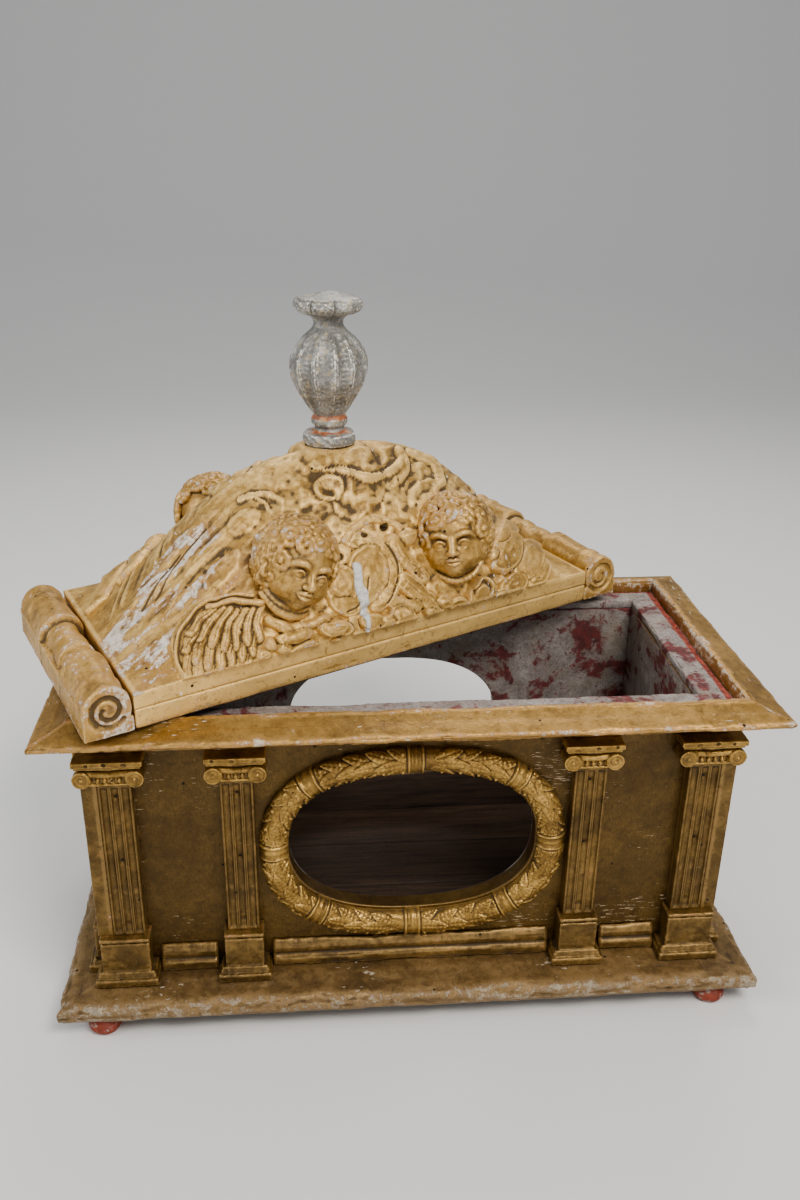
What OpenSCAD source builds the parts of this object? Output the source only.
// Gilt wooden tabernacle box: a mitred, pilastered chest on a moulded base
// with small turned feet and oval windows, and a loose carved lid with scroll
// ends, cherub heads and a turned finial. The lid lies askew on the cornice.
// Origin: centre of the base slab's underside. +X right, +Y back, +Z up.

/* [Chest] */
// Overall width of the cornice
cornice_w = 560; // [520:2:600]
// Overall depth of the cornice
cornice_d = 292; // [280:2:320]
// Height of the wall panels' top above the base slab's underside
wall_top = 244; // [240:1:256]
// Wall panel thickness
wall_t = 16; // [12:1:18]
// Base slab thickness
slab_t = 20; // [18:1:22]
// Height of the turned feet under the slab
foot_h = 14; // [10:1:20]

/* [Oval windows] */
// Width of the window opening
win_w = 198; // [160:2:200]
// Height of the window opening
win_h = 130; // [100:2:132]
// Width of the carved wreath around the window
wreath_t = 23; // [16:1:24]
// How far the wreath stands off the panel
wreath_proud = 14; // [8:1:16]
// Squareness of the oval, 2 is a plain ellipse
win_n = 2.4; // [2:0.1:3]

/* [Pilasters] */
// Width of a pilaster shaft
shaft_w = 25; // [20:1:26]
// Shaft thickness in front of the wall
shaft_t = 12; // [8:1:14]
// Centre of the outer pilasters from the middle
outer_x = 227; // [226:1:227]
// Centre of the inner pilasters from the middle
inner_x = 136.5; // [136:0.5:139]
// Flute radius
flute_r = 2.8; // [2:0.1:3.2]

/* [Lid] */
// Length of the lid along its front edge
lid_l = 504; // [480:1:506]
// Depth of the lid
lid_d = 208; // [200:1:214]
// Sideways drift of the lid's back edge for each unit of depth, as it is out of square
lid_skew = 0.09; // [0:0.01:0.12]
// Turn of the loose lid on the chest, degrees
lid_yaw = 29; // [0:1:40]
// Position of the lid's front left corner, X
lid_x = -236; // [-240:1:-230]
// Position of the lid's front left corner, Y
lid_y = -156; // [-160:1:-150]
// Height of the dome above the lid's underside
dome_h = 151; // [140:1:153]
// Radius of the rolled scroll ends
roll_r = 19; // [16:1:20]
// Wall thickness of the hollowed dome
shell_t = 16; // [12:1:20]

/* [Finial] */
// Height of the finial above the lid's crown
finial_h = 122; // [110:1:130]
// Radius of the dowel under the finial
dowel_r = 6; // [5:0.5:8]

/* [Hidden] */
cw = cornice_w/2;  cd = cornice_d/2;
ox = cw - 26;  oy = cd - 26;          // crest line of the cornice
wx = ox - 14;  wy = oy - 14;          // outer wall faces
ix = wx - wall_t;  iy = wy - wall_t;  // inner wall faces
sw = cw + 4;  sd = cd + 4;            // base slab half sizes
crest_z = wall_top + 17.5;
lid_z = crest_z + 0.3;
win_z = slab_t + 114;
seat_z = 154;                          // finial seat above the lid's underside
axis_u = lid_l/2;  axis_v = lid_d/2;
skew_a = atan(lid_skew);
grid_u = 30;  grid_v = 16;

gold = [0.66,0.48,0.20];  olive = [0.42,0.31,0.13];  dirty = [0.50,0.40,0.26];
red = [0.55,0.13,0.08];  plaster = [0.62,0.60,0.57];  bare = [0.20,0.13,0.09];
silver = [0.78,0.76,0.72];

// ---------- helpers ----------
function oval(a, b, n, k = 72) =
  [for (i = [0:k-1]) let (t = 360*i/k, c = cos(t), s = sin(t))
    [a*sign(c)*pow(abs(c), 2/n), b*sign(s)*pow(abs(s), 2/n)]];
function clamp01(x) = x < 0 ? 0 : x > 1 ? 1 : x;

// profile of a part that runs along X, drawn as [y, z]
module along_x(len, pts) translate([-len/2,0,0]) rotate([90,0,90]) linear_extrude(len) polygon(pts);
// profile of a part that runs along Y, drawn as [x, z]
module along_y(len, pts) translate([0,len/2,0]) rotate([90,0,0]) linear_extrude(len) polygon(pts);
// four-sided mitred strips: side 0 front, 1 back, 2 left, 3 right
module mitre(side) {
  g = ox - oy;  a = iy - 25;  b = sd + 10;
  pl = side < 2 ? [[-(g+b),-b],[g+b,-b],[g+a,-a],[-(g+a),-a]]
                : [[g+a,-a],[g+b,-b],[g+b,b],[g+a,a]];
  translate([0,0,-5]) linear_extrude(320)
    polygon(side == 1 ? [for (p = pl) [p[0],-p[1]]] : side == 2 ? [for (p = pl) [-p[0],p[1]]] : pl);
}
module strip(side, pts) intersection() {
  if (side == 0) along_x(2*cw+40, [for (p = pts) [-(oy+p[0]), p[1]]]);
  if (side == 1) along_x(2*cw+40, [for (p = pts) [oy+p[0], p[1]]]);
  if (side == 2) along_y(2*cd+40, [for (p = pts) [-(ox+p[0]), p[1]]]);
  if (side == 3) along_y(2*cd+40, [for (p = pts) [ox+p[0], p[1]]]);
  mitre(side);
}

// ---------- base ----------
module base_slab() color(dirty) difference() {
  intersection() {
    along_x(2*sw+2, [[-sd,4],[-sd+4,0],[sd-4,0],[sd,4],[sd,slab_t-6],[sd-3,slab_t-3],[sd-24,slab_t],[-sd+24,slab_t],[-sd+3,slab_t-3],[-sd,slab_t-6]]);
    along_y(2*sd+2, [[-sw,4],[-sw+4,0],[sw-4,0],[sw,4],[sw,slab_t-6],[sw-3,slab_t-3],[sw-24,slab_t],[-sw+24,slab_t],[-sw+3,slab_t-3],[-sw,slab_t-6]]);
  }
  for (x = [-1,1], y = [-1,1]) translate([x*(sw-34), y*(sd-16), -1]) cylinder(r = 5.05, h = 13.5, $fn = 48);
}
module foot(x, y) color(red) translate([x*(sw-34), y*(sd-16), 0])
  rotate_extrude($fn = 64) polygon([[0,-foot_h],[9,-foot_h],[12,-foot_h+2.5],[13.5,-foot_h+6.5],[12.8,-foot_h+10],[9.5,-1],[9,0],[5,0],[5,12],[0,12]]);
module foot_front_left() foot(-1,-1);
module foot_front_right() foot(1,-1);
module foot_back_left() foot(-1,1);
module foot_back_right() foot(1,1);
module floor_board() color(bare) translate([-ix,-iy,slab_t]) cube([2*ix,2*iy,12]);

// ---------- walls ----------
module window_cut() translate([0,0,win_z]) rotate([90,0,0]) linear_extrude(2*cd, center = true) polygon(oval(win_w/2, win_h/2, win_n));
module front_panel() color(olive) difference() {
  translate([-wx,-wy,slab_t]) cube([2*wx,wall_t,wall_top-slab_t]);
  window_cut();
}
module back_panel() color(olive) difference() {
  translate([-wx,iy,slab_t]) cube([2*wx,wall_t,wall_top-slab_t]);
  window_cut();
}
module left_panel() color(olive) translate([-wx,-iy,slab_t]) cube([wall_t,2*iy,wall_top-slab_t]);
module right_panel() color(olive) translate([ix,-iy,slab_t]) cube([wall_t,2*iy,wall_top-slab_t]);

// ---------- cornice and rebate ----------
rail = [for (p = [[26,5.5],[26,9.5],[0,17.5],[-2,17.5],[-4,15.5],[-4,0],[-14,0],[-14,-17],[-9,-17],[-9,-14],[-4,-12],[-1,-8.5],[4,-5],[10,-3],[16,0],[22,4]]) [p[0], wall_top+p[1]]];
ledge = [for (p = [[-30,0],[-4,0],[-4,7],[-7,7],[-8,6],[-9,8],[-30,8]]) [p[0], wall_top+p[1]]];
module cornice_front() color(gold) strip(0, rail);
module cornice_back() color(gold) strip(1, rail);
module cornice_left() color(gold) strip(2, rail);
module cornice_right() color(gold) strip(3, rail);
module ledge_front() color(red) strip(0, ledge);
module ledge_back() color(red) strip(1, ledge);
module ledge_left() color(red) strip(2, ledge);
module ledge_right() color(red) strip(3, ledge);

// ---------- skirting between the plinths ----------
skirt = [[0,slab_t],[8,slab_t],[8,slab_t+9],[5,slab_t+12],[6,slab_t+17],[2,slab_t+23],[0,slab_t+23]];
module skirt_x(s) for (r = [[-outer_x+28.5,-inner_x-28.5],[-inner_x+28.5,inner_x-28.5],[inner_x+28.5,outer_x-28.5]])
  translate([(r[0]+r[1])/2,0,0]) along_x(r[1]-r[0], [for (p = skirt) [s*(wy+p[0]), p[1]]]);
module skirting_front() color(gold) skirt_x(-1);
module skirting_back() color(gold) skirt_x(1);
module skirting_left() color(gold) along_y(2*(wy-31), [for (p = skirt) [-(wx+p[0]), p[1]]]);
module skirting_right() color(gold) along_y(2*(wy-31), [for (p = skirt) [wx+p[0], p[1]]]);

// ---------- plinths, pilasters, capitals ----------
// a stack of blocks against the front wall: x0..x1, standing proud by steps
module plinth(x0, x1, e0, e1) {
  translate([x0-e0*6, -wy-24, slab_t]) cube([x1-x0+(e0+e1)*6, 24, 7]);
  translate([x0-e0*4, -wy-21, slab_t+7]) cube([x1-x0+(e0+e1)*4, 21, 3]);
  translate([x0, -wy-18, slab_t+10]) cube([x1-x0, 18, 28]);
  translate([x0+e0*2, -wy-16, slab_t+38]) cube([x1-x0-(e0+e1)*2, 16, 2]);
  translate([x0-e0*1, -wy-18.5, slab_t+40]) cube([x1-x0+(e0+e1)*1, 18.5, 3]);
}
module plinths_x() {
  plinth(-wx-16, -outer_x+21.5, 1, 1);
  plinth(-inner_x-21.5, -inner_x+21.5, 1, 1);
  plinth(inner_x-21.5, inner_x+21.5, 1, 1);
  plinth(outer_x-21.5, wx+16, 1, 1);
}
module plinths_y() for (s = [-1,1]) scale([1,1,1]) mirror([0,s > 0 ? 1 : 0,0])
  rotate([0,0,90]) translate([0,wy-wx,0]) plinth(-wy, -wy+22, 0, 1);
module plinths_front() color(gold) plinths_x();
module plinths_back() color(gold) mirror([0,1,0]) plinths_x();
module plinths_left() color(gold) mirror([1,0,0]) plinths_y();
module plinths_right() color(gold) plinths_y();

shaft_z0 = slab_t + 43;  shaft_z1 = wall_top - 40;
nail_z = [shaft_z0+10, (shaft_z0+shaft_z1)/2, shaft_z1-12];
// a fluted shaft whose back lies on y = -wy
module shaft() difference() {
  translate([-shaft_w/2, -wy-shaft_t, shaft_z0]) cube([shaft_w, shaft_t, shaft_z1-shaft_z0]);
  for (x = [-8,0,8]) translate([x, -wy-shaft_t-0.6, shaft_z0+3]) cylinder(r = flute_r, h = shaft_z1-shaft_z0-6, $fn = 32);
  for (z = nail_z) translate([0, -wy-shaft_t-1, z]) rotate([-90,0,0]) cylinder(r = 1.85, h = 9, $fn = 24);
}
module nail_row() for (z = nail_z) translate([0, -wy-shaft_t+3.2, z]) rotate([-90,0,0]) cylinder(r = 1.8, h = 4.6, $fn = 24);
module at_front(x) translate([x,0,0]) children();
module at_back(x) translate([x,0,0]) mirror([0,1,0]) children();
module at_side(s, e) scale([1,1,1]) mirror([s < 0 ? 1 : 0,0,0]) mirror([0,e > 0 ? 1 : 0,0])
  translate([wx-wy, -wy+shaft_w/2+0.5-shaft_t, 0]) rotate([0,0,90]) children();
module pilaster_front_1() color(gold) at_front(-outer_x) shaft();
module pilaster_front_2() color(gold) at_front(-inner_x) shaft();
module pilaster_front_3() color(gold) at_front(inner_x) shaft();
module pilaster_front_4() color(gold) at_front(outer_x) shaft();
module pilaster_back_1() color(gold) at_back(-outer_x) shaft();
module pilaster_back_2() color(gold) at_back(-inner_x) shaft();
module pilaster_back_3() color(gold) at_back(inner_x) shaft();
module pilaster_back_4() color(gold) at_back(outer_x) shaft();
module pilaster_left_1() color(gold) at_side(-1,-1) shaft();
module pilaster_left_2() color(gold) at_side(-1,1) shaft();
module pilaster_right_1() color(gold) at_side(1,-1) shaft();
module pilaster_right_2() color(gold) at_side(1,1) shaft();
module pilaster_nails() color(bare) {
  for (x = [-outer_x,-inner_x,inner_x,outer_x]) { at_front(x) nail_row(); at_back(x) nail_row(); }
  for (s = [-1,1], e = [-1,1]) at_side(s, e) nail_row();
}
// an Ionic capital against the front wall, centred on x, from the shaft to the cornice
module capital(xl, xr, vl, vr) {
  zc = shaft_z1;
  translate([xl, -wy-18, wall_top-23]) cube([xr-xl, 18, 6]);
  translate([xl+2, -wy-15, wall_top-27]) cube([xr-xl-4, 15, 4]);
  translate([xl+4, -wy-14, zc]) cube([xr-xl-8, 14, 13]);
  if (vl) translate([xl+6, -wy, zc+7.2]) rotate([90,0,0]) cylinder(r = 7, h = 17, $fn = 40);
  if (vr) translate([xr-6, -wy, zc+7.2]) rotate([90,0,0]) cylinder(r = 7, h = 17, $fn = 40);
}
module capitals_x() {
  capital(-wx-16, -outer_x+23, true, true);
  capital(-inner_x-23, -inner_x+23, true, true);
  capital(inner_x-23, inner_x+23, true, true);
  capital(outer_x-23, wx+16, true, true);
}
module capitals_y() for (s = [-1,1]) mirror([0,s > 0 ? 1 : 0,0])
  rotate([0,0,90]) translate([0,wy-wx,0]) capital(-wy, -wy+24, false, true);
module capitals_front() color(gold) capitals_x();
module capitals_back() color(gold) mirror([0,1,0]) capitals_x();
module capitals_left() color(gold) mirror([1,0,0]) capitals_y();
module capitals_right() color(gold) capitals_y();

// ---------- oval wreaths ----------
module wreath(y) translate([0,y,win_z]) rotate([90,0,0]) linear_extrude(wreath_proud) difference() {
  polygon(oval(win_w/2+wreath_t, win_h/2+wreath_t+2, win_n));
  polygon(oval(win_w/2, win_h/2, win_n));
}
module wreath_front() color(gold) wreath(-wy);
module wreath_back() color(gold) wreath(wy+wreath_proud);

// ---------- lid ----------
// lid's own frame: u along the front edge, v back, w up from the underside
module on_lid() translate([lid_x, lid_y, lid_z]) rotate([0,0,lid_yaw]) children();
function sk(u, v) = [u + lid_skew*v, v];
function dome(u, v, h, ub, e, edge) =
  let (a = clamp01(abs(u-axis_u)/(axis_u-ub)),
       p = pow(0.5*(1+cos(180*pow(a,1.37))), 0.66),
       t = clamp01(abs(v-axis_v)/(axis_v-e)),
       q = pow(max(0, 1-pow(t,1.54)), 0.88))
  edge + (h-edge)*p*q;
module dome_solid(u0, v0, h, edge, floor) {
  nu = grid_u;  nv = grid_v;
  us = [for (i = [0:nu]) u0 + (lid_l-2*u0)*i/nu];
  vs = [for (j = [0:nv]) axis_v - (axis_v-v0)*cos(180*j/nv)];
  top = [for (i = [0:nu], j = [0:nv]) concat(sk(us[i], vs[j]), [dome(us[i], vs[j], h, u0, v0, edge)])];
  bot = [for (p = top) [p[0], p[1], floor]];
  n = (nu+1)*(nv+1);
  polyhedron(concat(top, bot), concat(
    [for (i = [0:nu-1], j = [0:nv-1]) each [[i*(nv+1)+j, i*(nv+1)+j+1, (i+1)*(nv+1)+j+1], [i*(nv+1)+j, (i+1)*(nv+1)+j+1, (i+1)*(nv+1)+j]]],
    [for (i = [0:nu-1], j = [0:nv-1]) each [[n+i*(nv+1)+j, n+(i+1)*(nv+1)+j+1, n+i*(nv+1)+j+1], [n+i*(nv+1)+j, n+(i+1)*(nv+1)+j, n+(i+1)*(nv+1)+j+1]]],
    [for (i = [0:nu-1]) each [[i*(nv+1), (i+1)*(nv+1), n+(i+1)*(nv+1)], [i*(nv+1), n+(i+1)*(nv+1), n+i*(nv+1)]]],
    [for (i = [0:nu-1]) each [[i*(nv+1)+nv, n+(i+1)*(nv+1)+nv, (i+1)*(nv+1)+nv], [i*(nv+1)+nv, n+i*(nv+1)+nv, n+(i+1)*(nv+1)+nv]]],
    [for (j = [0:nv-1]) each [[j, n+j+1, j+1], [j, n+j, n+j+1]]],
    [for (j = [0:nv-1]) each [[nu*(nv+1)+j, nu*(nv+1)+j+1, n+nu*(nv+1)+j+1], [nu*(nv+1)+j, n+nu*(nv+1)+j+1, n+nu*(nv+1)+j]]]
  ), convexity = 6);
}
module lid_frame() color(gold) on_lid() linear_extrude(16) difference() {
  polygon([sk(38,0), sk(lid_l-38,0), sk(lid_l-38,lid_d), sk(38,lid_d)]);
  polygon([sk(62,22), sk(lid_l-62,22), sk(lid_l-62,lid_d-22), sk(62,lid_d-22)]);
}
module lid_shell() color(gold) on_lid() difference() {
  dome_solid(38, 0, dome_h, 29, 16);
  dome_solid(38+24, 22, dome_h-shell_t, 17, 10);
  translate([axis_u+lid_skew*axis_v, axis_v, 90]) cylinder(r = 21.2, h = 100, $fn = 48);
}
module crown_block() color(dirty) on_lid() translate([axis_u+lid_skew*axis_v, axis_v, 0]) difference() {
  translate([0,0,seat_z-36]) cylinder(r = 21, h = 35.7, $fn = 64);
  translate([0,0,seat_z-32]) cylinder(r = dowel_r+0.05, h = 60, $fn = 64);
}
// the end strip curls up into a roll that runs along the lid's depth
module scroll_end() intersection() {
  rotate([90,0,-skew_a]) translate([0,0,-lid_d-30]) linear_extrude(lid_d+60) union() {
    translate([roll_r-0.2, roll_r+2]) circle(r = roll_r-0.2, $fn = 64);
    polygon([[0,0],[37.6,0],[37.6,12],[roll_r,roll_r+2],[0,roll_r+2]]);
  }
  translate([-60,0,-1]) cube([lid_l,lid_d,80]);
}
module scroll_left() color(gold) on_lid() scroll_end();
module scroll_right() color(gold) on_lid() translate([lid_l+lid_skew*lid_d, lid_d, 0]) rotate([0,0,180]) scroll_end();

// ---------- carvings on the lid ----------
module half_turn() translate([lid_l+lid_skew*lid_d, lid_d, 0]) rotate([0,0,180]) children();
module head(u, v, w, r) translate(concat(sk(u,v), [w])) union() {
  sphere(r = r, $fn = 48);
  translate([0,-0.32*r,-0.42*r]) sphere(r = 0.72*r, $fn = 48);
}
// low feathered fan lying on the lid's face; tilt leans it against the slope
module fan(u, v, w, r, tilt, turn) translate(concat(sk(u,v), [w])) rotate([tilt,0,turn])
  cylinder(r = r, h = 12, center = true, $fn = 48);
module wing_set() {
  fan(108, 12, 42, 36, 42, -8);
  fan(262, 22, 64, 26, 46, 0);
  fan(398, 18, 46, 26, 42, 8);
}
module cloud_set() for (i = [0:5])
  translate(concat(sk(150+41*i, i%2 == 0 ? 5 : 2), [i%2 == 0 ? 35 : 38])) sphere(r = 17, $fn = 48);
module cherub_front_left() color(gold) on_lid() head(181, 26, 86, 32);
module cherub_front_right() color(gold) on_lid() head(334, 22, 80, 30);
module cherub_back_left() color(gold) on_lid() half_turn() head(181, 26, 86, 32);
module cherub_back_right() color(gold) on_lid() half_turn() head(334, 22, 80, 30);
module wings_front() color(gold) on_lid() wing_set();
module wings_back() color(gold) on_lid() half_turn() wing_set();
module clouds_front() color(gold) on_lid() cloud_set();
module clouds_back() color(gold) on_lid() half_turn() cloud_set();

// ---------- finial ----------
fz = finial_h/122;
module finial() color(silver) on_lid() translate([axis_u+lid_skew*axis_v, axis_v, seat_z])
  rotate_extrude($fn = 96) polygon([for (p = [[0,-28],[dowel_r,-28],[dowel_r,0],[22,0],[22.5,4],[22,9],[13,11],[12,14],[15,16],[15,21],[13,24],[16,27],[21,36],[27,46],[31,56],[32,65],[30,74],[25,82],[18,89],[13,94],[12,98],[14,102],[22,105],[27,109],[27.5,113],[24,117],[12,119],[7,121],[0,122]])
    [p[0], p[1] > 0 ? p[1]*fz : p[1]]]);

base_slab();
foot_front_left();
foot_front_right();
foot_back_left();
foot_back_right();
floor_board();
front_panel();
back_panel();
left_panel();
right_panel();
cornice_front();
cornice_back();
cornice_left();
cornice_right();
ledge_front();
ledge_back();
ledge_left();
ledge_right();
skirting_front();
skirting_back();
skirting_left();
skirting_right();
plinths_front();
plinths_back();
plinths_left();
plinths_right();
pilaster_front_1();
pilaster_front_2();
pilaster_front_3();
pilaster_front_4();
pilaster_back_1();
pilaster_back_2();
pilaster_back_3();
pilaster_back_4();
pilaster_left_1();
pilaster_left_2();
pilaster_right_1();
pilaster_right_2();
capitals_front();
capitals_back();
capitals_left();
capitals_right();
wreath_front();
wreath_back();
pilaster_nails();
lid_frame();
lid_shell();
crown_block();
scroll_left();
scroll_right();
cherub_front_left();
cherub_front_right();
cherub_back_left();
cherub_back_right();
wings_front();
wings_back();
clouds_front();
clouds_back();
finial();
